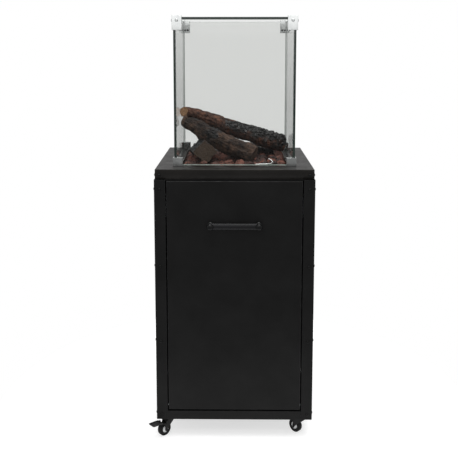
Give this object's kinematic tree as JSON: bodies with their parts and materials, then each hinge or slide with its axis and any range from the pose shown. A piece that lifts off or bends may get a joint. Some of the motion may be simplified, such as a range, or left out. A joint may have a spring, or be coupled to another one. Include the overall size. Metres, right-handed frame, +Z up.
{
  "type": "outdoor heater",
  "caption": "Free-standing outdoor gas heater: cabinet on swivel casters with a drop-down door, a burner pan with lava rocks and ceramic logs, and a square glass wind guard.",
  "frame": {"origin": "centre of the footprint, on the floor under the wheels", "axes": "+Z up, +X to the right seen from the door, -Y towards the person at the door"},
  "size_m": [0.4948, 0.5088, 1.215],
  "materials": {
    "powder_coat": "fine-textured black powder coat",
    "lid_coat": "coarse satin black powder coat",
    "glass": "clear tempered, dark green edges",
    "polished_steel": "polished",
    "stainless": "satin",
    "lava_rock": "porous, rough",
    "bark_log": "moulded bark, matte",
    "charred_log": "moulded charred wood, matte",
    "galvanised": "zinc plated",
    "cast_alloy": "die cast",
    "brass": "machined",
    "black_plastic": "moulded",
    "porcelain": "glazed",
    "gloss_black": "gloss",
    "wheel_rubber": "moulded tread on a grey hub",
    "caster_black": "gloss"
  },
  "bodies": {
    "cabinet": {"post_front_left": "powder_coat", "post_front_right": "powder_coat", "post_rear_right": "powder_coat", "post_rear_left": "powder_coat", "side_panel_left": "powder_coat", "side_panel_right": "powder_coat", "rear_panel": "powder_coat", "base_plate": "powder_coat", "bottom_rail": "powder_coat", "top_frame": "powder_coat", "lid": "lid_coat", "burner_pan": "stainless", "burner": "stainless", "lava_bed": "lava_rock", "log_upper": "charred_log", "log_middle": "charred_log", "log_short": "bark_log", "log_rear": "charred_log", "thermocouple": "stainless", "ignition_electrode": "porcelain", "heat_shield": "galvanised", "control_panel": "galvanised", "gas_valve": "cast_alloy", "gas_inlet": "brass", "gas_pipe": "stainless", "igniter_module": "black_plastic", "hinge_bracket_left": "galvanised", "hinge_bracket_right": "galvanised", "door_magnet": "black_plastic", "caster_front_left_plate": "caster_black", "caster_front_right_plate": "caster_black", "caster_rear_right_plate": "caster_black", "caster_rear_left_plate": "caster_black"},
    "wind_guard": {"glass_left": "glass", "glass_right": "glass", "glass_front": "glass", "glass_rear": "glass", "clip_top_front_left": "polished_steel", "clip_top_front_right": "polished_steel", "clip_top_rear_right": "polished_steel", "clip_top_rear_left": "polished_steel", "clip_bottom_front_left": "polished_steel", "clip_bottom_front_right": "polished_steel", "clip_bottom_rear_right": "polished_steel", "clip_bottom_rear_left": "polished_steel"},
    "door": {"door_panel": "powder_coat", "door_handle": "gloss_black"},
    "stem": {"valve_stem": "brass"},
    "knob": {"control_knob": "black_plastic"},
    "button": {"igniter_button": "black_plastic"},
    "caster_front_left": {"caster_front_left_fork": "caster_black"},
    "wheel_front_left": {"caster_front_left_wheel": "wheel_rubber"},
    "brake_front_left": {"caster_front_left_brake": "black_plastic"},
    "caster_front_right": {"caster_front_right_fork": "caster_black"},
    "wheel_front_right": {"caster_front_right_wheel": "wheel_rubber"},
    "caster_rear_right": {"caster_rear_right_fork": "caster_black"},
    "wheel_rear_right": {"caster_rear_right_wheel": "wheel_rubber"},
    "brake_rear_right": {"caster_rear_right_brake": "black_plastic"},
    "caster_rear_left": {"caster_rear_left_fork": "caster_black"},
    "wheel_rear_left": {"caster_rear_left_wheel": "wheel_rubber"}
  },
  "joints": [
    {"name": "guard_lift", "type": "slide", "parent": "cabinet", "child": "wind_guard", "axis": [0, 0, 1], "range_m": [0, 0.25]},
    {"name": "door_hinge", "type": "hinge", "parent": "cabinet", "child": "door", "pos_m": [0, -0.2165, 0.097], "axis": [1, 0, 0], "range_deg": [0, 90]},
    {"name": "stem_push", "type": "slide", "parent": "cabinet", "child": "stem", "axis": [0, 1, 0], "range_m": [0, 0.004], "stiffness_N_per_m": 800},
    {"name": "knob_turn", "type": "hinge", "parent": "stem", "child": "knob", "pos_m": [-0.07, -0.18, 0.67], "axis": [0, -1, 0], "range_deg": [0, 180]},
    {"name": "button_push", "type": "slide", "parent": "cabinet", "child": "button", "axis": [0, 1, 0], "range_m": [0, 0.004], "stiffness_N_per_m": 1500},
    {"name": "front_left_swivel", "type": "hinge", "parent": "cabinet", "child": "caster_front_left", "pos_m": [-0.193, -0.2, 0.045], "axis": [0, 0, 1], "continuous": true},
    {"name": "front_left_roll", "type": "hinge", "parent": "caster_front_left", "child": "wheel_front_left", "pos_m": [-0.20502, -0.21202, 0.02], "axis": [0.7071, -0.7071, 0], "continuous": true},
    {"name": "front_left_brake_press", "type": "hinge", "parent": "caster_front_left", "child": "brake_front_left", "pos_m": [-0.20502, -0.21202, 0.02], "axis": [0.7071, -0.7071, 0], "range_deg": [0, 10]},
    {"name": "front_right_swivel", "type": "hinge", "parent": "cabinet", "child": "caster_front_right", "pos_m": [0.193, -0.2, 0.045], "axis": [0, 0, 1], "continuous": true},
    {"name": "front_right_roll", "type": "hinge", "parent": "caster_front_right", "child": "wheel_front_right", "pos_m": [0.18098, -0.18798, 0.02], "axis": [-0.7071, -0.7071, 0], "continuous": true},
    {"name": "rear_right_swivel", "type": "hinge", "parent": "cabinet", "child": "caster_rear_right", "pos_m": [0.193, 0.2, 0.045], "axis": [0, 0, 1], "continuous": true},
    {"name": "rear_right_roll", "type": "hinge", "parent": "caster_rear_right", "child": "wheel_rear_right", "pos_m": [0.20502, 0.21202, 0.02], "axis": [-0.7071, 0.7071, 0], "continuous": true},
    {"name": "rear_right_brake_press", "type": "hinge", "parent": "caster_rear_right", "child": "brake_rear_right", "pos_m": [0.20502, 0.21202, 0.02], "axis": [-0.7071, 0.7071, 0], "range_deg": [0, 10]},
    {"name": "rear_left_swivel", "type": "hinge", "parent": "cabinet", "child": "caster_rear_left", "pos_m": [-0.193, 0.2, 0.045], "axis": [0, 0, 1], "continuous": true},
    {"name": "rear_left_roll", "type": "hinge", "parent": "caster_rear_left", "child": "wheel_rear_left", "pos_m": [-0.18098, 0.18798, 0.02], "axis": [0.7071, 0.7071, 0], "continuous": true}
  ]
}
